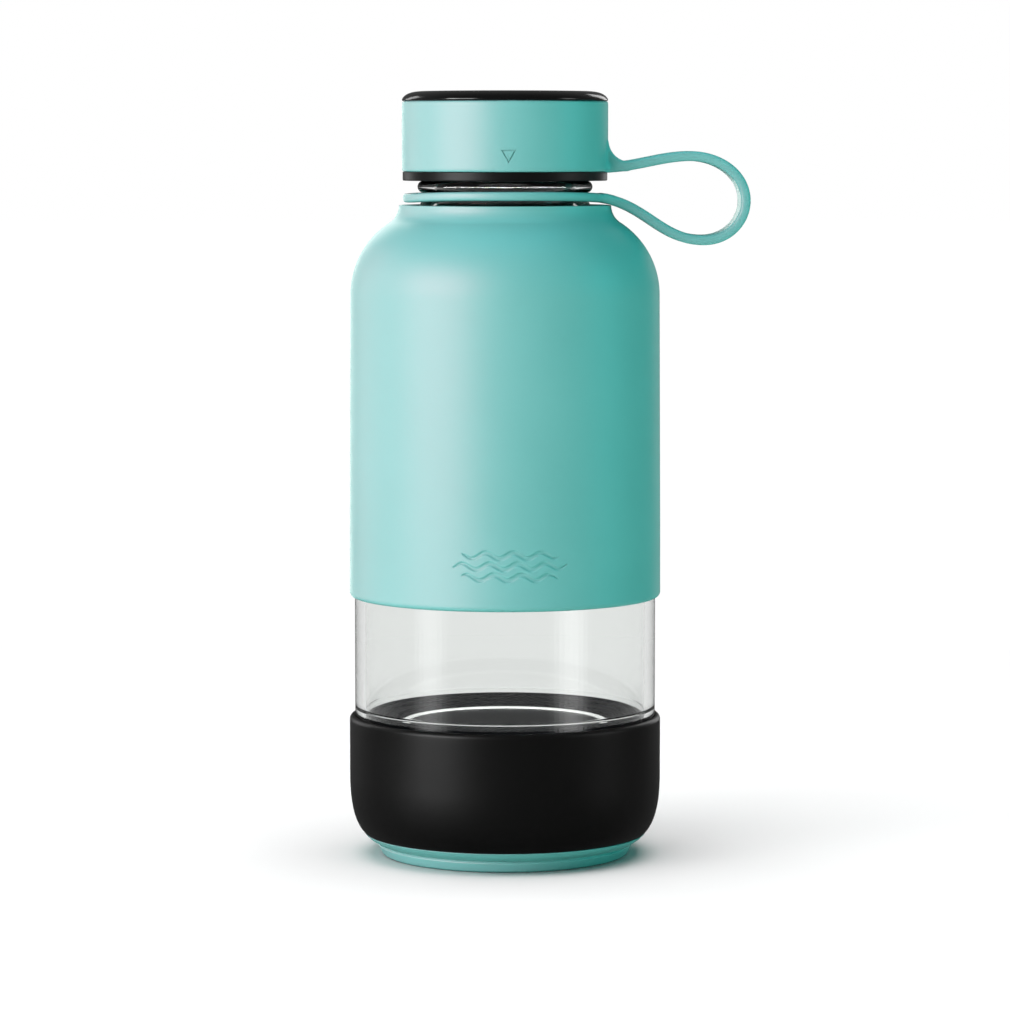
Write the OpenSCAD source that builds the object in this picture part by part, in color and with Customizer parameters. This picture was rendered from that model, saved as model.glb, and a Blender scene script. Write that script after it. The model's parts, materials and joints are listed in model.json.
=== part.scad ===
// Glass water bottle: an open-ended glass tube that screws into a black base cup, a soft sleeve
// over the glass, and a screw cap whose soft band carries a finger loop and a neck ring.
// Millimetres, Z up. The origin is on the bottle's axis, in the plane that the foot stands on.

/* [Glass] */
// Outside radius of the straight glass wall
glass_r = 41; // [40.6:0.1:41]
// Thickness of the glass wall
wall = 2.8; // [2.5:0.1:2.8]
// Outside radius of the neck, under the bead
neck_r = 22.2; // [22:0.1:22.4]
// Height where the shoulder leaves the straight wall
shoulder_z = 153; // [145:1:154]
// Height where the shoulder has become the neck
neck_z = 181; // [180.6:0.1:181.2]
// Height of the mouth's rim
mouth_z = 201.2; // [200.8:0.1:201.2]

/* [Screw threads] */
// Rise of each thread in one turn
pitch = 4; // [4:0.1:4.4]
// Turns of each thread
thread_turns = 1.5; // [1:0.25:1.5]

/* [Sleeve] */
// Height of the sleeve's lower edge
sleeve_z0 = 70.4; // [60:0.1:90]
// Height of the sleeve's upper edge
sleeve_z1 = 177.2; // [177:0.1:177.3]
// Thickness of the sleeve at its lower edge
sleeve_t = 1.4; // [1.2:0.1:1.6]

/* [Base] */
// Outside radius of the base cup
cup_r = 42.48; // [42.3:0.02:43]
// Height of the base cup's lip
cup_z1 = 38.4; // [38:0.1:38.6]
// Radius of the foot ring
foot_r = 34.5; // [33.6:0.1:35]
// Radius of the plug that stands up inside the glass
plug_r = 37.2; // [36.8:0.1:37.4]
// Height of the plug's rim
plug_z1 = 39.35; // [39.2:0.05:39.6]

/* [Cap] */
// Outside radius of the cap's soft band
band_r = 27.93; // [27.8:0.01:28.2]
// Height of the band's lower edge
band_z0 = 186.3; // [186.2:0.1:186.5]
// Height of the band's upper edge
band_z1 = 205.3; // [205.2:0.1:205.4]
// Height of the crown's top
top_z = 208; // [207.8:0.1:208.4]

/* [Carry loop] */
// Thickness of the strap
strap_t = 2.7; // [2.2:0.1:3]
// Width of the strap
strap_w = 12; // [9:0.5:14]

/* [Hidden] */

soft_teal = [0.41, 0.74, 0.71];
soft_black = [0.12, 0.12, 0.12];
gloss_black = [0.05, 0.05, 0.06];
clear_glass = [0.85, 0.92, 0.90, 0.35];

fit = 0.1;                      // gap between pieces that sit in one another
lathe_fn = 180;                 // steps round a turned piece
arc_n = 12;                     // steps along an arc or a curve

// base
cup_in_r = glass_r + 0.2;       // inside of the base cup
cup_z0 = 5.9;                   // lower face of the base cup
cup_edge_r = 38.5;              // radius of that face
cup_wall_z0 = 22;               // where the cup's straight wall starts
cup_lip_arc = 5;                // radius that rounds the lip
floor_z = 10.2;                 // inside floor of the base cup
cup_floor_r = 38.8;             // radius of that floor
cup_corner_z = 15.5;            // where its slanted corner meets the inside wall
boss_r = 33;                    // the foot's boss in the cup's underside
boss_z1 = 8;
insert_wall_r = plug_r - 3.4;   // inside of the insert's hollow wall
insert_roof_z = 34.4;           // underside of its roof
groove_r = plug_r - 1.8;        // seal groove round the insert
groove_z0 = 34.6;
groove_z1 = 37.4;

// glass
inner_r = glass_r - wall;
glass_z0 = 14;                  // lower rim
finish_r = glass_r - 1.3;       // outside of the threaded foot of the glass
finish_z1 = 34;                 // top of that foot
shoulder_arc = 22.3;            // convex radius of the shoulder
bead_r = 23.7;
bead_z0 = 180.6;
bead_z1 = 183.9;
mouth_r = neck_r - 0.4;         // outside of the neck above the bead
lip_arc = 0.8;                  // radius that rounds the mouth's rim
neck_in_r = neck_r - wall;

// Each inner ridge starts half a pitch below or above the one it runs against.
glass_thread_z = 18;
cup_thread_z = glass_thread_z + pitch / 2;
neck_thread_z = 190;
cap_thread_z = neck_thread_z - pitch / 2;

// sleeve
sleeve_arc = 23.3;              // convex radius of the sleeve's shoulder
sleeve_edge_arc = 1.3;          // rounding of the lower edge
sleeve_top_r = 28.8;
sleeve_neck_r = 25.2;           // hole in the sleeve's top
sleeve_lip_z = 175.2;           // underside of the lip round that hole

// cap
shell_r = band_r - 1.4;         // seat of the band on the cap shell
rim_r = band_r - 0.2;
shell_in_r = 23.4;
roof_z = band_z1 - 2;           // underside of the shell's roof
skirt_r = 18.6;                 // the plug's skirt inside the neck
skirt_t = 1.6;
skirt_z0 = 176.5;
plug_groove_r = skirt_r - 0.9;
plug_groove_z0 = 193;
plug_groove_z1 = 196;
mark_z = 190.5;                 // centre of the triangle on the band
mark_depth = 0.45;

// loop and ring
ring_r = band_r - 0.23;
ring_in_r = 24.6;
ring_z0 = 178;
ring_z1 = 180.4;
anchor_x = 33.2;                // where the band's loop anchor ends
anchor_arc = 5.6;               // radius that blends the anchor into the band
anchor_z1 = 194.8;              // where that blend meets the band

// ---- shapes ----

// Points on a circle arc, from angle a0 to a1.
function arc(cx, cy, r, a0, a1, n = arc_n) =
    [for (i = [0:n]) let (a = a0 + (a1 - a0) * i / n) [cx + r * cos(a), cy + r * sin(a)]];

// Points on a cubic curve with four control points.
function cubic(a, b, c, d, n = arc_n) =
    [for (i = [0:n]) let (t = i / n, s = 1 - t)
        s * s * s * a + 3 * s * s * t * b + 3 * s * t * t * c + t * t * t * d];

// A shoulder: it leaves the radius r0 at z0 on a convex arc and ends at r1 and z1 on a concave one.
function shoulder(r0, z0, r1, z1, convex) =
    let (drop = r0 - r1, rise = z1 - z0, both = (rise * rise + drop * drop) / (2 * drop),
         turn = asin(rise / both), concave = both - convex)
    concat(arc(r0 - convex, z0, convex, 0, turn), arc(r1 + concave, z1, concave, 180 + turn, 180));

function backwards(list) = [for (i = [len(list) - 1:-1:0]) list[i]];

module lathe(points) {
    rotate_extrude($fn = lathe_fn) polygon(points);
}

// A screw ridge. Its root is buried in the wall at root_r and its crest is at crest_r.
module ridge(root_r, crest_r, z0, root_w = 1.7, crest_w = 0.8, bury = 0.3, step = 10) {
    outward = crest_r > root_r;
    foot = root_r + (outward ? -bury : bury);
    section = [[foot, -root_w / 2], [crest_r, -crest_w / 2], [crest_r, crest_w / 2], [foot, root_w / 2]];
    n = ceil(thread_turns * 360 / step);
    points = [for (i = [0:n]) let (a = i * step) for (p = section)
        [p[0] * cos(a), p[0] * sin(a), z0 + p[1] + pitch * a / 360]];
    sides = [for (i = [0:n - 1], j = [0:3], half = [0, 1]) let (a = 4 * i + j, b = 4 * i + (j + 1) % 4)
        half == 0 ? [a, b, b + 4] : [a, b + 4, a + 4]];
    caps = [[2, 1, 0], [3, 2, 0], [4 * n, 4 * n + 1, 4 * n + 2], [4 * n, 4 * n + 2, 4 * n + 3]];
    faces = concat(sides, caps);
    polyhedron(points, outward ? faces : [for (f = faces) backwards(f)]);
}

// The outside of the glass from the neck down, moved outwards by d.
function glass_outside(d) = shoulder(glass_r + d, shoulder_z, neck_r + d, neck_z, shoulder_arc + d);

// The strap's centre line, from the cap's side to the neck ring.
function strap_line() = concat(
    cubic([28, 187.3], [36, 187.9], [41, 190.1], [48.9, 190.5]),
    cubic([48.9, 190.5], [57.7, 190.9], [65, 185.7], [65, 178.4]),
    cubic([65, 178.4], [65, 172.9], [60.4, 167.7], [53.5, 167.8]),
    cubic([53.5, 167.8], [42.1, 167.9], [38.1, 177.5], [26.5, 179.2]));

// The same line with its repeated joining points taken out.
function strap_points() = let (p = strap_line())
    [for (i = [0:len(p) - 1]) if (i == 0 || norm(p[i] - p[max(i - 1, 0)]) > 0.01) p[i]];

function side_step(p, i, d) =
    let (t = p[min(i + 1, len(p) - 1)] - p[max(i - 1, 0)]) p[i] + d * [-t[1], t[0]] / norm(t);

module strap_outline() {
    p = strap_points();
    polygon(concat([for (i = [0:len(p) - 1]) side_step(p, i, strap_t / 2)],
        [for (i = [len(p) - 1:-1:0]) side_step(p, i, -strap_t / 2)]));
}

// Extrudes a drawing of X and Z across Y, centred on Y = 0.
module across(width) {
    rotate([90, 0, 0]) linear_extrude(width, center = true) children();
}

// ---- base ----

// A pad with a shallow ring-shaped recess below, a stepped flange and a boss that plugs into the cup.
module base_foot() {
    recess_z = 1.2;
    edge = 0.7;
    flange_z = 3.2;
    color(soft_teal) lathe(concat(
        [[0, 0], [14, 0], [15, recess_z], [27.5, recess_z], [28.5, 0]],
        arc(foot_r - edge, edge, edge, -90, 0, 4),
        [[foot_r, flange_z - 0.1]],
        cubic([foot_r + 0.7, flange_z], [foot_r + 2, 3.6],
            [cup_edge_r - 0.7, 4.8], [cup_edge_r, cup_z0], 6),
        [[boss_r, cup_z0], [boss_r, boss_z1], [0, boss_z1]]));
}

module base_cup() {
    color(soft_black) {
        lathe(concat(
            [[0, boss_z1], [boss_r, boss_z1], [boss_r, cup_z0]],
            backwards(cubic([cup_r, cup_wall_z0], [cup_r, 14], [41.3, 8.8], [cup_edge_r, cup_z0])),
            arc(cup_r - cup_lip_arc, cup_z1 - 3.5, cup_lip_arc, 0, 38, 6),
            [[cup_in_r + 0.1, cup_z1], [cup_in_r, cup_z1 - 0.3], [cup_in_r, cup_corner_z],
             [cup_floor_r, floor_z], [0, floor_z]]));
        ridge(cup_in_r, glass_r - 1, cup_thread_z);
    }
}

// A hollow plug with a flange below, a seal groove, and a dished top with a raised ring in it.
module base_insert() {
    flange_z = floor_z + 1.8;
    edge = 0.5;
    rim_in_r = 34.3;
    ledge_z = plug_z1 - 0.85;
    ring_z = plug_z1 - 1.45;
    dish_z = plug_z1 - 3.05;
    color(gloss_black) lathe(concat(
        [[insert_wall_r, floor_z], [cup_floor_r - fit, floor_z], [cup_floor_r - fit, flange_z],
         [plug_r, flange_z], [plug_r, groove_z0], [groove_r, groove_z0], [groove_r, groove_z1],
         [plug_r, groove_z1]],
        arc(plug_r - edge, plug_z1 - edge, edge, 0, 90, 4),
        [[rim_in_r, plug_z1], [rim_in_r - 0.3, ledge_z], [28.6, ring_z - 0.5], [28, ring_z],
         [26.2, ring_z], [25.4, dish_z], [12, dish_z + 0.2], [0, dish_z + 0.3], [0, insert_roof_z],
         [insert_wall_r - 2.8, insert_roof_z], [insert_wall_r, insert_roof_z - 2.4]]));
}

module base_seal() {
    lip_r = inner_r - fit;
    color(soft_black) lathe([[groove_r + fit, groove_z0 + fit], [lip_r - 0.5, groove_z0 + fit],
        [lip_r, groove_z0 + 0.7], [lip_r - 0.6, (groove_z0 + groove_z1) / 2], [lip_r, groove_z1 - 0.7],
        [lip_r - 0.5, groove_z1 - fit], [groove_r + fit, groove_z1 - fit]]);
}

// ---- bottle ----

module glass_body() {
    rim_arc = (finish_r - inner_r) / 2;
    bead_arc = 1.6;
    color(clear_glass) {
        lathe(concat(
            arc(inner_r + rim_arc, glass_z0 + rim_arc, rim_arc, 180, 360, 8),
            [[finish_r, finish_z1 - 1.5], [glass_r, finish_z1]],
            glass_outside(0),
            [[neck_r + 0.1, bead_z0]],
            arc(bead_r - bead_arc, (bead_z0 + bead_z1) / 2, bead_arc, -75, 75, 10),
            [[mouth_r, bead_z1]],
            arc(mouth_r - lip_arc, mouth_z - lip_arc, lip_arc, 0, 90, 4),
            arc(neck_in_r + lip_arc, mouth_z - lip_arc, lip_arc, 90, 180, 4),
            backwards(glass_outside(-wall))));
        ridge(finish_r, glass_r - 0.4, glass_thread_z);
        ridge(mouth_r, mouth_r + 1.1, neck_thread_z);
    }
}

module body_sleeve() {
    bottom_r = glass_r + sleeve_t;
    top_r = bottom_r - 0.4;
    color(soft_teal) lathe(concat(
        [[glass_r + fit, sleeve_z0]],
        arc(bottom_r - sleeve_edge_arc, sleeve_z0 + sleeve_edge_arc, sleeve_edge_arc, -90, 0, 6),
        shoulder(top_r, shoulder_z, sleeve_top_r, sleeve_z1, sleeve_arc),
        [[sleeve_top_r - 0.4, sleeve_z1 + 0.1], [sleeve_neck_r, sleeve_z1 + 0.1],
         [sleeve_neck_r, sleeve_lip_z]],
        backwards([for (p = glass_outside(fit)) if (p[1] < sleeve_lip_z - 0.1) p])));
}

// ---- carry loop ----

module neck_ring() {
    edge = 0.4;
    color(soft_teal) lathe([[ring_in_r, ring_z0], [ring_r - edge, ring_z0], [ring_r, ring_z0 + edge],
        [ring_r, ring_z1 - edge], [ring_r - edge, ring_z1], [ring_in_r, ring_z1]]);
}

// The strap, cut off at the ring's rim below and just short of the band's anchor above.
module carry_loop() {
    cut_z = (ring_z1 + band_z0) / 2;
    color(soft_teal) difference() {
        across(strap_w) strap_outline();
        translate([0, 0, ring_z0 - 10]) cylinder(r = ring_r, h = cut_z - ring_z0 + 10, $fn = lathe_fn);
        translate([0, -strap_w, cut_z]) cube([anchor_x + 0.3, 2 * strap_w, 12]);
    }
}

// ---- cap ----

module cap_shell() {
    color(soft_black) {
        lathe([[shell_in_r, bead_z1], [rim_r - 0.2, bead_z1], [rim_r, bead_z1 + 0.2],
            [rim_r, band_z0 - 0.3],
            [shell_r, band_z0], [shell_r, band_z1], [0, band_z1], [0, roof_z],
            [shell_in_r, roof_z]]);
        ridge(shell_in_r, mouth_r + 0.4, cap_thread_z);
    }
}

// The outline of a downward triangle, its stroke as wide as s.
module triangle_mark(w, h, s) {
    difference() {
        polygon([[-w / 2, h / 2], [w / 2, h / 2], [0, -h / 2]]);
        polygon([[-w / 2 + 1.6 * s, h / 2 - s], [w / 2 - 1.6 * s, h / 2 - s], [0, -h / 2 + 1.9 * s]]);
    }
}

module cap_band() {
    in_r = shell_r + fit / 2;
    color(soft_teal) difference() {
        union() {
            lathe([[in_r, band_z0], [band_r, band_z0], [band_r, band_z1], [in_r, band_z1]]);
            difference() {
                across(strap_w) polygon(concat([[in_r, band_z0], [anchor_x, band_z0]],
                    arc(anchor_x + 0.2, anchor_z1, anchor_arc, 270, 180), [[in_r, anchor_z1]]));
                cylinder(r = in_r, h = top_z, $fn = lathe_fn);
            }
        }
        translate([0, -band_r + mark_depth, mark_z]) rotate([90, 0, 0])
            linear_extrude(2) triangle_mark(4.1, 3.5, 0.4);
    }
}

module cap_crown() {
    edge = 0.3;
    color(gloss_black) lathe(concat(
        [[0, band_z1], [band_r - edge, band_z1], [band_r, band_z1 + edge]],
        cubic([band_r - 0.05, 205.8], [band_r - 0.5, 206.8], [26.2, 207.8], [23.2, top_z - 0.05]),
        [[0, top_z]]));
}

// A disc under the cap's roof with a hollow skirt, which stands in the neck.
module cap_plug() {
    flange_r = shell_in_r - 0.3;
    flange_z = mouth_z + fit;
    edge = 0.6;
    color(gloss_black) lathe([[skirt_r - skirt_t, skirt_z0], [skirt_r - edge, skirt_z0],
        [skirt_r, skirt_z0 + edge], [skirt_r, plug_groove_z0], [plug_groove_r, plug_groove_z0],
        [plug_groove_r, plug_groove_z1], [skirt_r, plug_groove_z1], [skirt_r, flange_z],
        [flange_r, flange_z], [flange_r, roof_z], [0, roof_z], [0, flange_z],
        [skirt_r - skirt_t, flange_z]]);
}

module plug_seal() {
    lip_r = neck_in_r - fit;
    in_r = plug_groove_r + fit / 2;
    z0 = plug_groove_z0 + fit;
    z1 = plug_groove_z1 - fit;
    color(soft_black) lathe([[in_r, z0], [lip_r - 0.3, z0], [lip_r, z0 + 0.5], [lip_r, z1 - 0.5],
        [lip_r - 0.3, z1], [in_r, z1]]);
}

base_foot();
base_cup();
base_insert();
base_seal();
glass_body();
body_sleeve();
neck_ring();
carry_loop();
cap_shell();
cap_band();
cap_crown();
cap_plug();
plug_seal();
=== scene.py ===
import json
import math

import bmesh
import bpy
import numpy as np
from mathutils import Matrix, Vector

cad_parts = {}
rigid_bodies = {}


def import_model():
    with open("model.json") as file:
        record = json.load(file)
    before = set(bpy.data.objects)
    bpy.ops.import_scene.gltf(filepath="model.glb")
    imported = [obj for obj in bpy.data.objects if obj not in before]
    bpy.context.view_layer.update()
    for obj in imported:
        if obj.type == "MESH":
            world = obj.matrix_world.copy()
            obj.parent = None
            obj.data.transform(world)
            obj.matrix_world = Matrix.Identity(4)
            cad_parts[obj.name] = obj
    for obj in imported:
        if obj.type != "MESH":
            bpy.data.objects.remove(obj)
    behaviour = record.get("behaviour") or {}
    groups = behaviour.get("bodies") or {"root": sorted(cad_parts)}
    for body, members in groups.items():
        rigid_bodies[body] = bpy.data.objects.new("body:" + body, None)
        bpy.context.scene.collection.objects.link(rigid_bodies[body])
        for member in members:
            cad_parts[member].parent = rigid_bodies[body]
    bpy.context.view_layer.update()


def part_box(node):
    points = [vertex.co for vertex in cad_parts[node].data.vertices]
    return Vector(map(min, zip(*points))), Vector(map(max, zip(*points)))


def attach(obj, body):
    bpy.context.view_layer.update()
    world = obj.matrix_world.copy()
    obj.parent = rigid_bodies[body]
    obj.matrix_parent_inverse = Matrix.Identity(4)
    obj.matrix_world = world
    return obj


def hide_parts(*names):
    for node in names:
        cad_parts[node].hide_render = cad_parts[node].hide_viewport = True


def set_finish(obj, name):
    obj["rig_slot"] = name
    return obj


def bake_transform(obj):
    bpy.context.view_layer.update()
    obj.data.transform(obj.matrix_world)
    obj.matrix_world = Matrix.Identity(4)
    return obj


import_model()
scene = bpy.context.scene
MM = 0.001


def box_mm(node):
    """A CAD node's lowest and highest corners, in millimetres."""
    low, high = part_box(node)
    return low / MM, high / MM


# The sizes below, all in millimetres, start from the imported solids.
glass_low, glass_high = box_mm("glass_body")
sleeve_low, sleeve_high = box_mm("body_sleeve")
cup_high = box_mm("base_cup")[1]
insert_low, insert_high = box_mm("base_insert")
seal_low, seal_high = box_mm("base_seal")
foot_high = box_mm("base_foot")[1]
ring_low, ring_high = box_mm("neck_ring")
band_low, band_high = box_mm("cap_band")
shell_low, shell_high = box_mm("cap_shell")
crown_low, crown_high = box_mm("cap_crown")
plug_low, plug_high = box_mm("cap_plug")
lip_low, lip_high = box_mm("plug_seal")

PITCH = 4.0                     # of both screw threads
WALL = 2.8                      # of the glass
GLASS_R = glass_high.y
NECK_R = 22.2
MOUTH_R = 21.8
INNER_R = GLASS_R - WALL
SHOULDER_Z = 153.0
NECK_Z = 181.0
BEAD_Z0, BEAD_Z1, BEAD_R = 180.6, 183.9, 23.7
CUP_IN_R = GLASS_R + 0.2
PLUG_R = 37.2
BAND_R = -band_low.y
SHELL_SEAT_R = BAND_R - 1.4
SHELL_IN_R = 23.4
SKIRT_R = 18.6
STRAP_T, STRAP_W = 2.7, 12.0


# ---------------------------------------------------------------- camera
CAMERA_AT = Vector((-0.03912, -1.12032, 0.1943))
CAMERA_TURN, CAMERA_PITCH = math.radians(-2.0), math.radians(5.03)

camera = bpy.data.objects.new("camera", bpy.data.cameras.new("camera"))
scene.collection.objects.link(camera)
scene.camera = camera
camera.location = CAMERA_AT
camera.rotation_euler = (math.pi / 2 - CAMERA_PITCH, 0, CAMERA_TURN)
camera.data.sensor_width = 36
camera.data.lens = 147.0
camera.data.clip_start, camera.data.clip_end = 0.05, 50


# ---------------------------------------------------------------- outlines
def arc(cr, cz, r, a0, a1, n=16):
    angles = [math.radians(a0 + (a1 - a0) * i / n) for i in range(n + 1)]
    return [(cr + r * math.cos(a), cz + r * math.sin(a)) for a in angles]


def cubic(a, b, c, d, n=24):
    points = []
    for i in range(n + 1):
        t = i / n
        s = 1 - t
        k = (s ** 3, 3 * s * s * t, 3 * s * t * t, t ** 3)
        points.append(tuple(k[0] * p + k[1] * q + k[2] * r + k[3] * w
                            for p, q, r, w in zip(a, b, c, d)))
    return points


def shoulder(r0, z0, r1, z1, convex, n=28):
    """The S curve from a wall at radius r0 up to a neck at radius r1."""
    drop, rise = r0 - r1, z1 - z0
    both = (rise * rise + drop * drop) / (2 * drop)
    turn = math.degrees(math.asin(rise / both))
    concave = both - convex
    return (arc(r0 - convex, z0, convex, 0, turn, n)
            + arc(r1 + concave, z1, concave, 180 + turn, 180, n)[1:])


def glass_line(d=0.0):
    """The glass outside, or the same line d further out."""
    return shoulder(GLASS_R + d, SHOULDER_Z, NECK_R + d, NECK_Z, 22.3 + d)


def rounded(points, step=9.0):
    """A closed outline from (r, z) points, where a third number rounds that corner."""
    made = []
    for i, p in enumerate(points):
        size = p[2] if len(p) > 2 else 0
        b = Vector(p[:2])
        if not size:
            made.append((b.x, b.y))
            continue
        to_a = Vector(points[i - 1][:2]) - b
        to_c = Vector(points[(i + 1) % len(points)][:2]) - b
        half = to_a.angle(to_c) / 2
        reach = min(size / math.tan(half), 0.48 * to_a.length, 0.48 * to_c.length)
        size = reach * math.tan(half)
        to_a.normalize()
        to_c.normalize()
        centre = b + (to_a + to_c).normalized() * size / math.sin(half)
        start = b + to_a * reach - centre
        end = b + to_c * reach - centre
        first = math.atan2(start.y, start.x)
        turn = math.atan2(start.cross(end), start.dot(end))
        count = max(2, math.ceil(abs(turn) / math.radians(step)))
        for k in range(count + 1):
            a = first + turn * k / count
            made.append((centre.x + size * math.cos(a), centre.y + size * math.sin(a)))
    return made


def finer(points, z0, z1, step):
    """The closed outline with points no further apart than step between two heights."""
    made = []
    for i, p in enumerate(points):
        q = points[(i + 1) % len(points)]
        made.append(p)
        if min(p[1], q[1]) < z1 and max(p[1], q[1]) > z0:
            count = math.ceil(math.dist(p, q) / step)
            made += [(p[0] + (q[0] - p[0]) * k / count, p[1] + (q[1] - p[1]) * k / count)
                     for k in range(1, count)]
    return made


# ---------------------------------------------------------------- meshes
def smoothstep(x):
    x = np.clip(x, 0.0, 1.0)
    return x * x * (3 - 2 * x)


def add_mesh(name, points, faces, sharp=38.0):
    """A new object from points in millimetres, smooth except along edges sharper than that angle."""
    mesh = bpy.data.meshes.new(name)
    mesh.from_pydata((np.asarray(points) * MM).tolist(), [], faces)
    bm = bmesh.new()
    bm.from_mesh(mesh)
    bmesh.ops.remove_doubles(bm, verts=bm.verts, dist=1e-7)
    bmesh.ops.recalc_face_normals(bm, faces=bm.faces)
    bm.to_mesh(mesh)
    bm.free()
    mesh.validate()
    piece = bpy.data.objects.new(name, mesh)
    scene.collection.objects.link(piece)
    soften(piece, sharp)
    return piece


def soften(piece, sharp=38.0):
    piece.data.shade_smooth()
    piece.data.set_sharp_from_angle(angle=math.radians(sharp))


def even_angles(count=256):
    return np.arange(count) * 2 * math.pi / count


def front_angles(half_width, step, radius, count=216):
    """Angles round the axis, closer together on the front within half_width of the middle."""
    front = -math.pi / 2
    reach = half_width / radius
    near = np.arange(-reach, reach + 1e-9, 2 * reach / math.ceil(2 * half_width / step))
    far = np.linspace(reach, 2 * math.pi - reach, count)[1:-1]
    return front + np.concatenate([near, far])


def held(points, near=0.3):
    """The outline with a point close to both ends of each long side, which is then shaded flat."""
    made = []
    for i, p in enumerate(points):
        q = points[(i + 1) % len(points)]
        made.append(p)
        length = math.dist(p, q)
        if length > 4 * near and max(p[0], q[0]) > 1e-6:
            made += [(p[0] + (q[0] - p[0]) * t, p[1] + (q[1] - p[1]) * t)
                     for t in (near / length, 1 - near / length)]
    return made


def lathe(name, outline, angles=None, shape=None, sharp=38.0):
    """A turned piece. The outline is closed, or open with both its ends on the axis.
    shape(r, z, angle) gives each point's own r and z."""
    angles = even_angles() if angles is None else angles
    line = np.array(held(outline), float)
    on_axis = line[:, 0] < 1e-6
    is_open = on_axis.any()
    if is_open:
        start = int(np.argmax(on_axis & ~np.roll(on_axis, -1)))
        line = np.roll(line, -start, axis=0)
        last = int(np.nonzero(line[:, 0] < 1e-6)[0][-1]) if (line[1:, 0] < 1e-6).any() else 0
        line = line[:last + 1] if last else line
    rows, columns = len(line), len(angles)
    r = np.repeat(line[:, 0:1], columns, axis=1)
    z = np.repeat(line[:, 1:2], columns, axis=1)
    a = np.repeat(angles[None, :], rows, axis=0)
    if shape:
        r, z = shape(r, z, a)
    points = np.stack([r * np.cos(a), r * np.sin(a), z], axis=-1).reshape(-1, 3)
    faces = []
    for i in range(rows if not is_open else rows - 1):
        k = (i + 1) % rows
        for j in range(columns):
            n = (j + 1) % columns
            quad = [i * columns + j, i * columns + n, k * columns + n, k * columns + j]
            if line[i, 0] < 1e-6 and line[k, 0] < 1e-6:
                continue
            if line[i, 0] < 1e-6:
                quad.pop(1)
            elif line[k, 0] < 1e-6:
                quad.pop(3)
            faces.append(quad)
    return add_mesh(name, points, faces, sharp)


def thread(root_r, crest_r, z0, turns=1.5, root_w=1.9, crest_w=0.8):
    """A shape for lathe: one helical ridge on the wall at root_r, tapered at both ends."""
    side = 1 if crest_r > root_r else -1
    middle, reach = z0 + PITCH * turns / 2, PITCH * (turns / 2 + 0.5)

    def shape(r, z, a):
        out = np.array(r)
        on_wall = (np.abs(r - root_r) < 0.06) & (np.abs(z - middle) < reach)
        for turn in range(-1, 3):
            along = a / (2 * math.pi) + turn
            off = np.abs(z - z0 - PITCH * along)
            ends = smoothstep(np.minimum(along, turns - along) * 12)
            rise = smoothstep((root_w / 2 - off) / (root_w / 2 - crest_w / 2)) * ends
            moved = root_r + (crest_r - root_r) * rise
            use = on_wall & (rise > 0)
            out[use] = np.maximum(out * side, moved * side)[use] * side
        return out, z

    return shape


def joined(*shapes):
    def shape(r, z, a):
        for s in shapes:
            r, z = s(r, z, a)
        return r, z
    return shape


# ---------------------------------------------------------------- materials
def srgb(r, g, b):
    """A linear colour from one as a colour picker shows it, 0 to 255."""
    return tuple(c / 3294.6 if c <= 10.31 else ((c / 255 + 0.055) / 1.055) ** 2.4
                 for c in (r, g, b)) + (1.0,)


class Finish:
    """A material's nodes, with the Principled node that they feed."""

    def __init__(self, name, **sockets):
        self.material = bpy.data.materials.new(name)
        self.material.use_nodes = True
        self.tree = self.material.node_tree
        self.shader = self.tree.nodes["Principled BSDF"]
        for key, value in sockets.items():
            self.shader.inputs[key.replace("_", " ")].default_value = value
        self.place = self.node("ShaderNodeTexCoord").outputs["Object"]

    def node(self, kind, **fields):
        made = self.tree.nodes.new(kind)
        for key, value in fields.items():
            setattr(made, key, value)
        return made

    def link(self, a, b):
        self.tree.links.new(a, b)

    def noise(self, scale, detail=2.0, rough=0.5, stretch=(1, 1, 1)):
        at = self.node("ShaderNodeMapping")
        at.inputs["Scale"].default_value = stretch
        made = self.node("ShaderNodeTexNoise")
        made.inputs["Scale"].default_value = scale
        made.inputs["Detail"].default_value = detail
        made.inputs["Roughness"].default_value = rough
        self.link(self.place, at.inputs["Vector"])
        self.link(at.outputs[0], made.inputs["Vector"])
        return made.outputs["Fac"]

    def spread(self, value, low, high, from_low=0.3, from_high=0.7):
        """value from from_low to from_high, spread over low to high."""
        made = self.node("ShaderNodeMapRange")
        for key, number in (("From Min", from_low), ("From Max", from_high),
                            ("To Min", low), ("To Max", high)):
            made.inputs[key].default_value = number
        self.link(value, made.inputs["Value"])
        return made.outputs[0]

    def sum(self, a, b, share=1.0):
        made = self.node("ShaderNodeMath", operation="MULTIPLY_ADD")
        self.link(b, made.inputs[0])
        made.inputs[1].default_value = share
        self.link(a, made.inputs[2])
        return made.outputs[0]

    def colour(self, value, low, high):
        made = self.node("ShaderNodeMix", data_type="RGBA")
        # A mix node has several inputs called A, B and Result. These are the ones for colours.
        mix_a, mix_b, result = 6, 7, 2
        made.inputs[mix_a].default_value = low
        made.inputs[mix_b].default_value = high
        self.link(value, made.inputs["Factor"])
        self.link(made.outputs[result], self.shader.inputs["Base Color"])

    def roughness(self, value):
        self.link(value, self.shader.inputs["Roughness"])

    def bump(self, height, distance, strength=1.0):
        made = self.node("ShaderNodeBump")
        made.inputs["Strength"].default_value = strength
        made.inputs["Distance"].default_value = distance
        self.link(height, made.inputs["Height"])
        self.link(made.outputs["Normal"], self.shader.inputs["Normal"])


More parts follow.
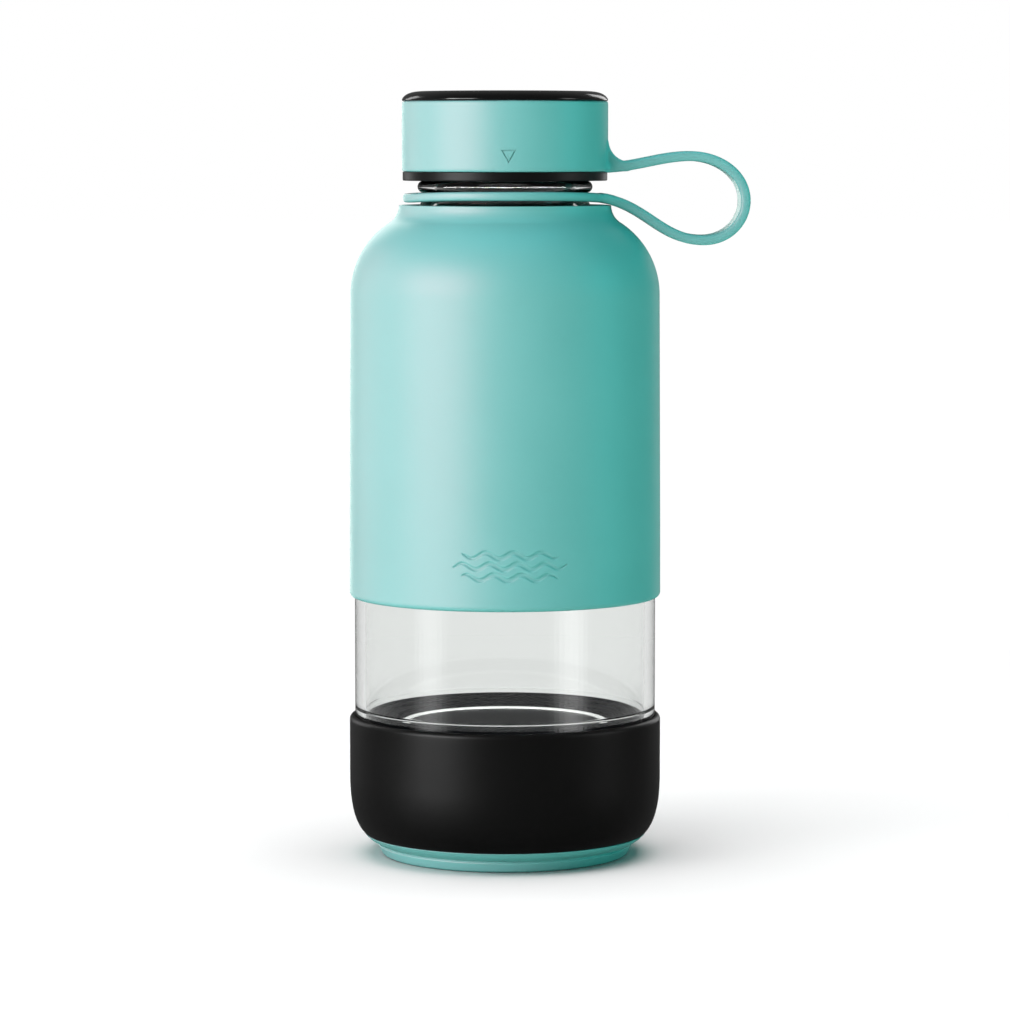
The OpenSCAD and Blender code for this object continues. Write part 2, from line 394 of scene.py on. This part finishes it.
def teal_silicone():
    f = Finish("teal_silicone", IOR=1.5, Specular_IOR_Level=0.5)
    grain = f.noise(2600, 3, 0.6)
    cloud = f.noise(26, 3, 0.5)
    f.colour(f.spread(f.sum(cloud, grain, 0.25), 0, 1, 0.35, 0.9),
             srgb(80, 176, 166), srgb(86, 182, 172))
    f.roughness(f.spread(f.sum(cloud, grain, 0.6), 0.42, 0.49, 0.5, 1.1))
    f.bump(f.sum(grain, f.noise(900, 2, 0.5), 0.6), 0.00003, 0.5)
    return f.material


def soft_black():
    f = Finish("soft_black", IOR=1.5, Specular_IOR_Level=0.33)
    grain = f.noise(2200, 3, 0.6)
    cloud = f.noise(30, 3, 0.5)
    f.colour(f.spread(cloud, 0, 1), srgb(9, 9, 9), srgb(12, 12, 12))
    f.roughness(f.spread(f.sum(cloud, grain, 0.6), 0.37, 0.44, 0.5, 1.1))
    f.bump(grain, 0.00003, 0.5)
    return f.material


def gloss_black():
    f = Finish("gloss_black", IOR=1.5, Specular_IOR_Level=0.5, Coat_Weight=0.3, Coat_Roughness=0.04)
    cloud = f.noise(40, 3, 0.5)
    scuff = f.noise(500, 4, 0.7, (1, 1, 0.2))
    f.colour(f.spread(cloud, 0, 1), srgb(12, 12, 12), srgb(16, 16, 16))
    f.roughness(f.spread(f.sum(cloud, scuff, 0.5), 0.12, 0.2, 0.4, 1.0))
    f.bump(f.noise(220, 2, 0.4), 0.00001, 0.12)
    return f.material


def moulded_black():
    f = Finish("moulded_black", IOR=1.5, Specular_IOR_Level=0.03)
    f.colour(f.spread(f.noise(40, 3, 0.5), 0, 1), srgb(7, 8, 10), srgb(10, 11, 13))
    f.roughness(f.spread(f.noise(60, 2, 0.5), 0.29, 0.31))
    return f.material


def black_seal():
    f = Finish("black_seal", IOR=1.43, Specular_IOR_Level=0.45)
    grain = f.noise(1800, 3, 0.6)
    f.colour(f.spread(f.noise(30, 3, 0.5), 0, 1), srgb(24, 24, 24), srgb(30, 30, 30))
    f.roughness(f.spread(grain, 0.36, 0.46))
    f.bump(grain, 0.00002, 0.4)
    return f.material


# Near white, for the ring in the insert's dish that is a painted highlight.
def highlight_white():
    f = Finish("highlight_white", IOR=1.45, Specular_IOR_Level=0.5)
    grain = f.noise(1500, 3, 0.6)
    f.colour(f.spread(f.noise(40, 2, 0.5), 0, 1), srgb(236, 238, 236), srgb(243, 245, 243))
    f.roughness(f.spread(grain, 0.25, 0.35))
    f.bump(grain, 0.00002, 0.3)
    return f.material


def clear_glass():
    f = Finish("clear_glass", IOR=1.47, Transmission_Weight=1.0, Roughness=0.0)
    f.colour(f.spread(f.noise(18, 2, 0.5), 0, 1), (0.87, 0.885, 0.875, 1), (0.88, 0.895, 0.885, 1))
    f.bump(f.noise(26, 1, 0.4), 0.00004, 0.15)
    return f.material


MATERIALS = {
    "teal_silicone": teal_silicone(),
    "soft_black": soft_black(),
    "gloss_black": gloss_black(),
    "black_seal": black_seal(),
    "clear_glass": clear_glass(),
}


def fit(piece, body, slot, *nodes, ride=True):
    """Gives a piece its material and finish slot, hangs it on its body unless ride is false, and hides the
    CAD pieces that it takes the place of.
    """
    piece.data.materials.clear()
    piece.data.materials.append(MATERIALS[slot])
    if ride:
        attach(piece, body)
    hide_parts(*nodes)
    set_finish(piece, slot)
    return piece


# ---------------------------------------------------------------- base
def make_foot():
    edge_r, top = foot_high.x, 5.9
    boss_r, boss_z = 33.0, foot_high.z
    recess = [(0, 0), (14, 0, 0.5), (15, 1.2, 0.5), (27.5, 1.2, 0.5), (28.5, 0, 0.5)]
    flange = [(33.6, 0, 1.3), (34.8, 2.7, 0.5), (34.3, 3.15, 0.25), (35.4, 3.5, 0.3), (37.2, 4.6, 1.5),
              (edge_r, top - 0.1, 0.08), (edge_r - 0.2, top)]
    outline = rounded(recess + flange + [(boss_r, top), (boss_r, boss_z), (0, boss_z)])
    return fit(lathe("foot_pad", outline), "base", "teal_silicone", "base_foot")


def make_cup():
    r, z1 = cup_high.x, cup_high.z
    z0, edge_r, boss_r, boss_z = 5.9, 38.5, 33.05, 8.0
    floor_r, floor_z, corner_z = 38.8, 10.2, 15.5
    outline = ([(0, boss_z), (boss_r, boss_z), (boss_r, z0), (edge_r - 0.3, z0)]
               + arc(edge_r - 0.3, z0 + 0.3, 0.3, -90, -55, 4)
               + cubic((r, 22), (r, 14), (41.3, 8.8), (edge_r, z0 + 0.12), 40)[::-1]
               + [(r, z1 - 2.4)]
               + arc(r - 1.28, z1 - 1.28, 1.28, 0, 90, 12)
               + [(CUP_IN_R + 0.25, z1), (CUP_IN_R, z1 - 0.25), (CUP_IN_R, corner_z), (floor_r, floor_z),
                  (0, floor_z)])
    outline = finer(outline, 19, 33, 0.25)
    return fit(lathe("base_shell", outline, shape=thread(CUP_IN_R, GLASS_R - 1, 20)),
               "base", "soft_black", "base_cup")


def make_insert():
    flange_r, floor_z = insert_high.x, insert_low.z
    flange_z, wall_in_r = floor_z + 1.8, PLUG_R - 3.4
    groove_r, groove_z0, groove_z1 = PLUG_R - 1.8, 34.6, 37.4
    top, dish_z, roof_z = insert_high.z, 36.2, 34.4
    flange = [(wall_in_r, floor_z, 0.3), (flange_r, floor_z, 0.3), (flange_r, flange_z, 0.3),
              (PLUG_R, flange_z, 0.5)]
    groove = [(PLUG_R, groove_z0, 0.2), (groove_r, groove_z0, 0.2), (groove_r, groove_z1, 0.2),
              (PLUG_R, groove_z1, 0.2)]
    steps = [(PLUG_R, top, 0.45), (35.9, top, 0.25), (35.5, 38.75, 0.3), (33.2, 38.55, 0.3),
             (32.7, 38.0, 0.3), (30.2, 37.7, 0.3), (29.6, 37.1, 0.3), (28.5, 36.95, 0.25),
             (28.2, dish_z, 0.2)]
    inside = [(0, roof_z), (31, roof_z, 0.5), (wall_in_r, 32, 1.0)]
    outline = rounded(flange + groove + steps + [(12, dish_z), (0, dish_z)] + inside)
    plug = fit(lathe("base_plug", outline), "base", "gloss_black", "base_insert")
    plug.data.materials[0] = moulded_black()
    return plug


def make_highlight_ring():
    """A pale ring in the insert's dish, a painted highlight: it stands in for the bright line of light seen
    there. It stands for no CAD piece.
    """
    r0, r1, z0, z1 = 26.3, 28.15, 36.15, 36.6
    outline = rounded([(r0, z0), (r1, z0), (r1, z1, 0.2), (r0, z1, 0.2)], 20)
    ring = lathe("dish_highlight_ring", outline)
    ring.data.materials.clear()
    ring.data.materials.append(highlight_white())
    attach(ring, "base")
    return ring


def make_base_seal():
    r0, r1 = PLUG_R - 1.7, INNER_R - 0.1
    z0, z1 = seal_low.z, seal_high.z
    mid = (z0 + z1) / 2
    outline = rounded([(r0, z0, 0.2), (r1 - 0.5, z0, 0.2), (r1, z0 + 0.5, 0.3), (r1, mid - 0.5, 0.3),
                       (r1 - 0.6, mid, 0.2), (r1, mid + 0.5, 0.3), (r1, z1 - 0.5, 0.3), (r1 - 0.5, z1, 0.2),
                       (r0, z1, 0.2)])
    return fit(lathe("base_seal_ring", outline), "seal", "black_seal", "base_seal")


make_foot()
make_cup()
make_insert()
make_highlight_ring()
make_base_seal()


# ---------------------------------------------------------------- glass
def make_glass():
    z0, z1 = glass_low.z, glass_high.z
    finish_r, finish_z = GLASS_R - 1.3, 34.0
    rim, lip = 0.75, 0.8
    mouth_in = NECK_R - WALL
    bead_z = 40.5
    bead = ((0.3, 0), (0.2, 0.04), (0.1, 0.1), (0, 0.12), (-0.1, 0.1), (-0.2, 0.04), (-0.3, 0))
    outline = (arc(INNER_R + rim, z0 + rim, rim, 180, 360, 16)
               + [(finish_r, finish_z - 1.5)]
               + arc(GLASS_R - 0.6, finish_z - 0.1, 0.6, -40, 0, 5)
               + [(GLASS_R, 60)] + glass_line()
               + [(NECK_R + 0.1, BEAD_Z0)]
               + arc(BEAD_R - 1.6, (BEAD_Z0 + BEAD_Z1) / 2, 1.6, -78, 78, 20)
               + [(MOUTH_R, BEAD_Z1), (MOUTH_R, z1 - 3)]
               + arc(MOUTH_R - lip, z1 - lip, lip, 0, 90, 8)
               + arc(mouth_in + lip, z1 - lip, lip, 90, 180, 8)
               + glass_line(-WALL)[::-1] + [(INNER_R, 60)]
               + [(INNER_R - out, bead_z + up) for up, out in bead])
    outline = finer(finer(outline, 16, 27, 0.25), 188, 199.5, 0.25)
    shape = joined(thread(finish_r, GLASS_R - 0.4, 18), thread(MOUTH_R, MOUTH_R + 1.1, 190))
    return fit(lathe("glass_body_clear", outline, shape=shape), "bottle", "clear_glass", "glass_body")


make_glass()


# ---------------------------------------------------------------- sleeve
WAVE_Z, WAVE_HALF, WAVE_DEPTH = 83.0, 15.5, 0.35


def wave_motif(r, z, a):
    """Three small water waves, pressed into the front of the sleeve."""
    x = (a + math.pi / 2 + math.pi) % (2 * math.pi) - math.pi
    x = x * r
    outer = r > GLASS_R + 0.7
    press = np.zeros_like(r)
    for row in (-1, 0, 1):
        middle = WAVE_Z + 2.9 * row + 0.75 * np.sin(2 * math.pi * x / 7.4 + row * 0.9)
        half = WAVE_HALF - abs(row) * 2.5
        thick = 0.62 * np.sqrt(np.clip(1 - (x / half) ** 2, 0, 1)) + 1e-9
        press = np.maximum(press, smoothstep((thick - np.abs(z - middle)) / 0.28 + 0.5)
                           * (np.abs(x) < half))
    return np.where(outer, r - WAVE_DEPTH * press, r), z


def make_sleeve():
    bottom_r, z0, z1 = GLASS_R + 1.4, sleeve_low.z + 0.5, sleeve_high.z
    edge, neck_r, lip_z = 1.3, 25.2, 175.2
    top_r, top_z = 28.8, 177.2
    inside = [p for p in glass_line(0.1) if p[1] < lip_z - 0.1]
    lip = rounded([(top_r, top_z - 1), (top_r - 0.25, z1, 0.5), (neck_r, z1, 0.3), (neck_r, lip_z, 0.2),
                   (inside[-1][0], lip_z)])
    outline = ([(GLASS_R + 0.1, z0 + 0.3), (GLASS_R + 0.4, z0)]
               + arc(bottom_r - edge, z0 + edge, edge, -90, 0, 10)
               + [(bottom_r - 0.02, 76), (bottom_r - 0.05, 90)]
               + shoulder(bottom_r - 0.4, SHOULDER_Z, top_r, top_z, 23.3, 36)
               + lip[1:] + inside[::-1])
    outline = finer(outline, 77.5, 88.5, 0.2)
    angles = front_angles(WAVE_HALF + 0.5, 0.2, bottom_r)
    return fit(lathe("grip_sleeve", outline, angles, wave_motif), "bottle", "teal_silicone", "body_sleeve")


make_sleeve()


# ---------------------------------------------------------------- cap
def make_cap_shell():
    z0, z1 = shell_low.z, shell_high.z
    rim_r = BAND_R - 0.2
    roof = z1 - 2
    outline = rounded([(SHELL_IN_R, z0, 0.25), (rim_r, z0, 0.3), (rim_r, band_low.z - 0.02, 0.15),
                       (SHELL_SEAT_R, band_low.z), (SHELL_SEAT_R, z1), (0, z1), (0, roof),
                       (SHELL_IN_R, roof, 0.5)])
    outline = finer(outline, 186, 198, 0.25)
    return fit(lathe("cap_inner_shell", outline, shape=thread(SHELL_IN_R, MOUTH_R + 0.4, 188)),
               "cap", "soft_black", "cap_shell")


def make_crown():
    z0, z1 = crown_low.z, crown_high.z
    shoulder_line = cubic((BAND_R - 0.05, z0 + 0.5), (BAND_R - 0.5, z0 + 1.5),
                          (26.2, z1 - 0.2), (23.2, z1 - 0.05))
    outline = ([(0, z0), (BAND_R - 0.45, z0)] + arc(BAND_R - 0.45, z0 + 0.4, 0.4, -90, 0, 6)
               + shoulder_line + [(12, z1 - 0.01), (0, z1)])
    return fit(lathe("cap_top", outline), "cap", "gloss_black", "cap_crown")


def make_cap_plug():
    z0, z1 = plug_low.z, plug_high.z
    flange = glass_high.z + 0.1
    skirt_in, groove_r, disc_r = SKIRT_R - 1.6, SKIRT_R - 0.9, SHELL_IN_R - 0.3
    outline = rounded([(skirt_in, z0, 0.4), (SKIRT_R, z0, 0.7), (SKIRT_R, 193, 0.2), (groove_r, 193, 0.2),
                       (groove_r, 196, 0.2), (SKIRT_R, 196, 0.2), (SKIRT_R, flange, 0.3),
                       (disc_r, flange, 0.3), (disc_r, z1, 0.3), (0, z1), (0, flange),
                       (skirt_in, flange, 0.6)])
    return fit(lathe("cap_stopper", outline), "cap", "gloss_black", "cap_plug")


def make_plug_seal():
    z0, z1, r = lip_low.z, lip_high.z, lip_high.x
    mid, in_r = (z0 + z1) / 2, SKIRT_R - 0.85
    outline = rounded([(in_r, z0, 0.2), (r - 0.4, z0, 0.3), (r, z0 + 0.6, 0.4), (r - 0.35, mid, 0.3),
                       (r, z1 - 0.6, 0.4), (r - 0.4, z1, 0.3), (in_r, z1, 0.2)])
    return fit(lathe("cap_seal_ring", outline), "cap", "black_seal", "plug_seal")


make_cap_shell()
make_crown()
make_cap_plug()
make_plug_seal()


# ---------------------------------------------------------------- band, strap and ring
STRAP_LINE = (cubic((27, 187.35), (36, 187.75), (41, 190.1), (48.9, 190.5), 30)
              + cubic((48.9, 190.5), (57.7, 190.9), (65, 185.7), (65, 178.4), 30)[1:]
              + cubic((65, 178.4), (65, 172.9), (60.4, 167.7), (53.5, 167.8), 30)[1:]
              + cubic((53.5, 167.8), (42.1, 167.9), (38.1, 177.5), (26.0, 179.2), 36)[1:])


def flare(x, root_r, fillet):
    """How much wider the strap is on each side at x, where a fillet leads it into a round rim."""
    centre_y = STRAP_W / 2 + fillet
    centre_x = math.sqrt((root_r + fillet) ** 2 - centre_y ** 2)
    start_x = centre_x * root_r / (root_r + fillet)
    x = max(x, start_x)
    return 0.0 if x >= centre_x else fillet - math.sqrt(fillet ** 2 - (centre_x - x) ** 2)


def swept_strap():
    """The flat strap along its line: a rounded oblong section, wider at its two roots."""
    line = np.array(STRAP_LINE)
    along = np.gradient(line, axis=0)
    along /= np.linalg.norm(along, axis=1)[:, None]
    across = np.stack([-along[:, 1], along[:, 0]], axis=1)
    section = rounded([(-STRAP_T / 2, -STRAP_W / 2, 0.7), (STRAP_T / 2, -STRAP_W / 2, 0.7),
                       (STRAP_T / 2, STRAP_W / 2, 0.7), (-STRAP_T / 2, STRAP_W / 2, 0.7)], 15)
    points = []
    for (x, z), (nx, nz) in zip(line, across):
        wider = 1 + (flare(x, ring_high.x, 13.0) if z < 183 else flare(x, BAND_R, 3.0)) / (STRAP_W / 2)
        points += [(x + nx * s, w * wider, z + nz * s) for s, w in section]
    n = len(section)
    faces = [[i * n + j, i * n + (j + 1) % n, (i + 1) * n + (j + 1) % n, (i + 1) * n + j]
             for i in range(len(line) - 1) for j in range(n)]
    faces += [list(range(n)), [(len(line) - 1) * n + j for j in range(n)]]
    return add_mesh("strap_work", points, faces)


def prism(name, outline, y0, y1):
    """A solid with that outline in x and z, from y0 to y1."""
    n = len(outline)
    points = [(x, y, z) for y in (y0, y1) for x, z in outline]
    faces = [[j, (j + 1) % n, n + (j + 1) % n, n + j] for j in range(n)]
    return add_mesh(name, points, faces + [list(range(n)), list(range(n, 2 * n))])


def apply_modifier(piece, kind, **fields):
    made = piece.modifiers.new(kind.lower(), kind)
    for key, value in fields.items():
        setattr(made, key, value)
    bpy.context.view_layer.update()
    graph = bpy.context.evaluated_depsgraph_get()
    mesh = bpy.data.meshes.new_from_object(piece.evaluated_get(graph))
    piece.modifiers.clear()
    old, piece.data = piece.data, mesh
    bpy.data.meshes.remove(old)


def cut(piece, tool, operation="DIFFERENCE"):
    apply_modifier(piece, "BOOLEAN", object=tool, operation=operation, solver="EXACT")
    bpy.data.objects.remove(tool)


def make_moulding():
    """The band round the cap, the strap and the ring round the neck are one soft moulding."""
    z0, z1 = band_low.z, band_high.z
    in_r = SHELL_SEAT_R + 0.05
    work = lathe("band_work", rounded([(in_r, z0), (BAND_R, z0, 0.35), (BAND_R, z1, 0.35), (in_r, z1)], 20))
    cut(work, swept_strap(), "UNION")
    anchor_x, anchor_top = 33.2, 194.8
    root = [(in_r + 0.3, z0 + 0.1), (anchor_x, z0 + 0.1)] + arc(anchor_x + 0.4, anchor_top, 5.8, 270, 180, 12)
    cut(work, prism("root_work", root + [(in_r + 0.3, anchor_top)], -STRAP_W / 2, STRAP_W / 2), "UNION")
    ring_r, ring_in = ring_high.x, 24.6
    ring = lathe("ring_work", rounded([(ring_in, ring_low.z, 0.3), (ring_r, ring_low.z, 0.6),
                                       (ring_r, ring_high.z, 0.6), (ring_in, ring_high.z, 0.3)], 20))
    cut(work, ring, "UNION")
    apply_modifier(work, "REMESH", mode="VOXEL", voxel_size=0.36 * MM)
    bm = bmesh.new()
    bm.from_mesh(work.data)
    for _ in range(5):
        bmesh.ops.smooth_vert(bm, verts=bm.verts, factor=0.5,
                              use_axis_x=True, use_axis_y=True, use_axis_z=True)
    bm.to_mesh(work.data)
    bm.free()
    true_band(work, in_r, z0, z1)
    cut_mark(work)
    lift_ring(work)
    work.name = "strap_moulding"
    soften(work, 42)
    fit(work, None, "teal_silicone", "neck_ring", "carry_loop", "cap_band", ride=False)
    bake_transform(work)
    return work


def true_band(piece, in_r, z0, z1):
    """Puts the remeshed band's walls back on their exact radii."""
    mesh = piece.data
    co = np.empty(len(mesh.vertices) * 3)
    mesh.vertices.foreach_get("co", co)
    co = co.reshape(-1, 3) / MM
    r = np.hypot(co[:, 0], co[:, 1])
    away = (np.abs(co[:, 1]) > STRAP_W / 2 + 1.5) | (co[:, 0] < 0)
    inside = (co[:, 2] > z0 + 0.8) & (co[:, 2] < z1 - 0.8) & away
    for radius in (BAND_R, in_r):
        near = inside & (np.abs(r - radius) < 0.3)
        co[near, :2] *= (radius / r[near])[:, None]
    mesh.vertices.foreach_set("co", (co * MM).ravel())
    mesh.update()


def cut_mark(piece):
    """The outlined triangle pressed into the front of the band."""
    across, high, middle, depth, line = 4.1, 3.5, 190.5, 0.3, 0.34
    top, tip = middle + high / 2, middle - high / 2
    outer = [Vector((-across / 2, top)), Vector((across / 2, top)), Vector((0, tip))]
    sides = [(outer[(i + 1) % 3] - outer[i]).length for i in range(3)]
    inradius = across * high / sum(sides)
    middle_in = Vector((0, top - inradius))
    inner = [middle_in + (p - middle_in) * (1 - line / inradius) for p in outer]
    for i in range(3):
        k = (i + 1) % 3
        bar = [outer[i], outer[k], inner[k], inner[i]]
        wedge = prism("mark_work", [tuple(p) for p in bar], -BAND_R - 1, -BAND_R + depth + 0.05)
        cut(piece, wedge)


def lift_ring(piece):
    """The soft ring doesn't lie quite flat: its front stands a little higher."""
    mesh = piece.data
    co = np.empty(len(mesh.vertices) * 3)
    mesh.vertices.foreach_get("co", co)
    co = co.reshape(-1, 3) / MM
    ring = (co[:, 2] < 182) & (np.hypot(co[:, 0], co[:, 1]) < 30)
    front = smoothstep((-co[:, 1] / 27.7 - 0.1) / 0.9)
    back = smoothstep((co[:, 1] / 27.7 - 0.1) / 0.9)
    co[ring, 2] += (0.75 * front + 0.3 * back)[ring]
    mesh.vertices.foreach_set("co", (co * MM).ravel())
    mesh.update()


make_moulding()


# ---------------------------------------------------------------- floor, light and world
def make_floor():
    mesh = bpy.data.meshes.new("floor")
    size = 9.0
    corners = [(-size, -size, 0), (size, -size, 0), (size, size, 0), (-size, size, 0)]
    mesh.from_pydata(corners, [], [[0, 1, 2, 3]])
    floor = bpy.data.objects.new("floor", mesh)
    scene.collection.objects.link(floor)
    f = Finish("pale_floor", Roughness=0.9, Specular_IOR_Level=0.1)
    f.colour(f.spread(f.noise(3, 3, 0.5), 0, 1), (0.90, 0.90, 0.90, 1), (0.92, 0.92, 0.92, 1))
    far = f.node("ShaderNodeVectorMath", operation="LENGTH")
    f.link(f.place, far.inputs[0])
    glow = f.node("ShaderNodeEmission")
    glow.inputs["Strength"].default_value = 1.02
    mix = f.node("ShaderNodeMixShader")
    f.link(f.spread(far.outputs["Value"], 0, 1, 0.16, 0.5), mix.inputs[0])
    f.link(f.shader.outputs[0], mix.inputs[1])
    f.link(glow.outputs[0], mix.inputs[2])
    f.link(mix.outputs[0], f.tree.nodes["Material Output"].inputs["Surface"])
    mesh.materials.append(f.material)
    floor.visible_glossy = False


def light_group(*slots):
    """The pieces with one of these finishes or names, for a light that shines on them alone."""
    group = bpy.data.collections.new("lit_" + slots[0])
    for piece in scene.objects:
        if piece.get("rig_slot") in slots or piece.name in slots:
            group.objects.link(piece)
    return group


def pieces_but(name):
    """All the pieces except one, for a light that has to pass through that one."""
    group = bpy.data.collections.new("all_but_" + name)
    for piece in scene.objects:
        if piece.type == "MESH" and piece.name != name:
            group.objects.link(piece)
    return group


def add_panel(name, group, azimuth, elevation, distance, size, radiance, target=(0, 0, 0.1)):
    """A soft panel that faces the target. Its radiance is for red, green and blue, and a white floor in
    full light has 1."""
    a, e = math.radians(azimuth), math.radians(elevation)
    back = Vector((math.sin(a) * math.cos(e), -math.cos(a) * math.cos(e), math.sin(e)))
    data = bpy.data.lights.new(name, "AREA")
    data.shape = "RECTANGLE"
    data.size, data.size_y = size
    brightest = max(radiance)
    data.energy = brightest * math.pi * size[0] * size[1]
    data.color = [c / brightest for c in radiance]
    light = bpy.data.objects.new(name, data)
    scene.collection.objects.link(light)
    light.location = Vector(target) + back * distance
    light.rotation_euler = (-back).to_track_quat("-Z", "Y").to_euler()
    light.visible_camera = False
    light.visible_transmission = False
    light.light_linking.receiver_collection = group
    return light


def make_world():
    """White where it is seen, also through the glass. As a light it is dim, and a little brighter behind."""
    world = bpy.data.worlds.new("studio")
    world.use_nodes = True
    scene.world = world
    tree = world.node_tree
    nodes, links = tree.nodes, tree.links
    nodes.clear()
    out = nodes.new("ShaderNodeOutputWorld")
    seen, room = nodes.new("ShaderNodeBackground"), nodes.new("ShaderNodeBackground")
    mix = nodes.new("ShaderNodeMixShader")
    path = nodes.new("ShaderNodeLightPath")
    bounces = nodes.new("ShaderNodeMath")
    links.new(path.outputs["Diffuse Depth"], bounces.inputs[0])
    links.new(path.outputs["Glossy Depth"], bounces.inputs[1])
    direct = nodes.new("ShaderNodeMath")
    direct.operation = "LESS_THAN"
    direct.inputs[1].default_value = 0.5
    links.new(bounces.outputs[0], direct.inputs[0])
    links.new(direct.outputs[0], mix.inputs[0])
    links.new(room.outputs[0], mix.inputs[1])
    links.new(seen.outputs[0], mix.inputs[2])
    links.new(mix.outputs[0], out.inputs["Surface"])
    seen.inputs["Color"].default_value = (1, 1, 1, 1)
    seen.inputs["Strength"].default_value = 1.0
    where = nodes.new("ShaderNodeTexCoord")
    split = nodes.new("ShaderNodeSeparateXYZ")
    links.new(where.outputs["Generated"], split.inputs[0])
    ramp = nodes.new("ShaderNodeMapRange")
    ramp.interpolation_type = "SMOOTHSTEP"
    for key, number in (("From Min", -0.35), ("From Max", 0.75), ("To Min", 0.02), ("To Max", 0.09)):
        ramp.inputs[key].default_value = number
    links.new(split.outputs["Y"], ramp.inputs["Value"])
    links.new(ramp.outputs[0], room.inputs["Strength"])
    room.inputs["Color"].default_value = (1, 1, 1, 1)


make_floor()
make_world()
ON_FLOOR = light_group("floor")
ON_TEAL = light_group("teal_silicone")
ON_DARK = light_group("soft_black", "cap_top", "cap_stopper", "black_seal")
ON_GLASS = light_group("clear_glass")
ON_RING = light_group("dish_highlight_ring", "base_plug")
NOT_GLASS = pieces_but("glass_body_clear")

WHITE = np.ones(3)
TALL = (0.36, 1.2)
# Each panel: name, receivers, azimuth, elevation, distance, size, radiance and, for some, a target.
# Those on the teal pieces are tinted, so that the shading runs from pale at the left to deep at the right.
PANELS = (
    ("floor_key", ON_FLOOR, -70, 42, 1.5, (0.8, 0.8), 1.8 * WHITE),
    ("floor_fill", ON_FLOOR, -40, 48, 1.5, (0.8, 0.8), 1.7 * WHITE),
    ("floor_top", ON_FLOOR, 0, 89.9, 1.6, (1.8, 1.8), 3.75 * WHITE),
    ("teal_back", ON_TEAL, -165, 10, 1.3, TALL, (4.7, 4.6, 4.4)),
    ("teal_left", ON_TEAL, -108, 10, 1.3, (1.7, 1.2), (2.6, 0.6, 0.7)),
    ("teal_key", ON_TEAL, -51, 10, 1.3, (1.2, 1.2), (13.2, 5.4, 6.3)),
    ("teal_right", ON_TEAL, 75, 10, 1.3, TALL, (0.0, 4.0, 4.1)),
    ("teal_rim", ON_TEAL, 150, 10, 1.3, TALL, (1.0, 0.8, 0.8)),
    ("teal_top", ON_TEAL, 0, 89.9, 1.6, (1.4, 1.4), (0.0, 1.6, 1.8)),
    ("dark_back", ON_DARK, -140, 10, 1.3, TALL, 1.8 * WHITE),
    ("dark_key", ON_DARK, -62, 10, 1.3, TALL, 9.0 * WHITE),
    ("dark_soft", ON_DARK, -44, 10, 1.3, TALL, 6.0 * WHITE),
    ("dark_right", ON_DARK, 75, 10, 1.3, TALL, 2.2 * WHITE),
    ("dark_rim", ON_DARK, 150, 10, 1.3, TALL, 1.8 * WHITE),
    ("ring_front", ON_RING, 0, 40, 1.3, (1.2, 1.2), 11.0 * WHITE),
    ("bead_left", ON_GLASS, -60, 0, 1.3, (1.5, 0.3), 20.0 * WHITE, (0, 0, 0.185)),
    ("bead_front", ON_GLASS, -2, 0, 1.3, (1.5, 0.3), 32.0 * WHITE, (0, 0, 0.185)),
    ("bead_right", ON_GLASS, 56, 0, 1.3, (1.5, 0.3), 20.0 * WHITE, (0, 0, 0.185)),
)
for panel in PANELS:
    light = add_panel(*panel)
    if panel[1] == ON_DARK:
        light.light_linking.blocker_collection = NOT_GLASS
    if panel[1] == ON_RING:
        light.light_linking.blocker_collection = ON_RING

# The glass mirrors two soft-edged panels, each made of upright strips.
for side, middle, strength in (("left", -60, 2.6), ("right", 49, 3.4)):
    for i in range(-4, 5):
        level = strength * math.cos(i * math.pi / 10) ** 2
        add_panel(f"glass_{side}_{i}", ON_GLASS, middle + 4 * i, 10, 1.3, (0.092, 1.2), level * WHITE)
scene.view_settings.view_transform = "Standard"
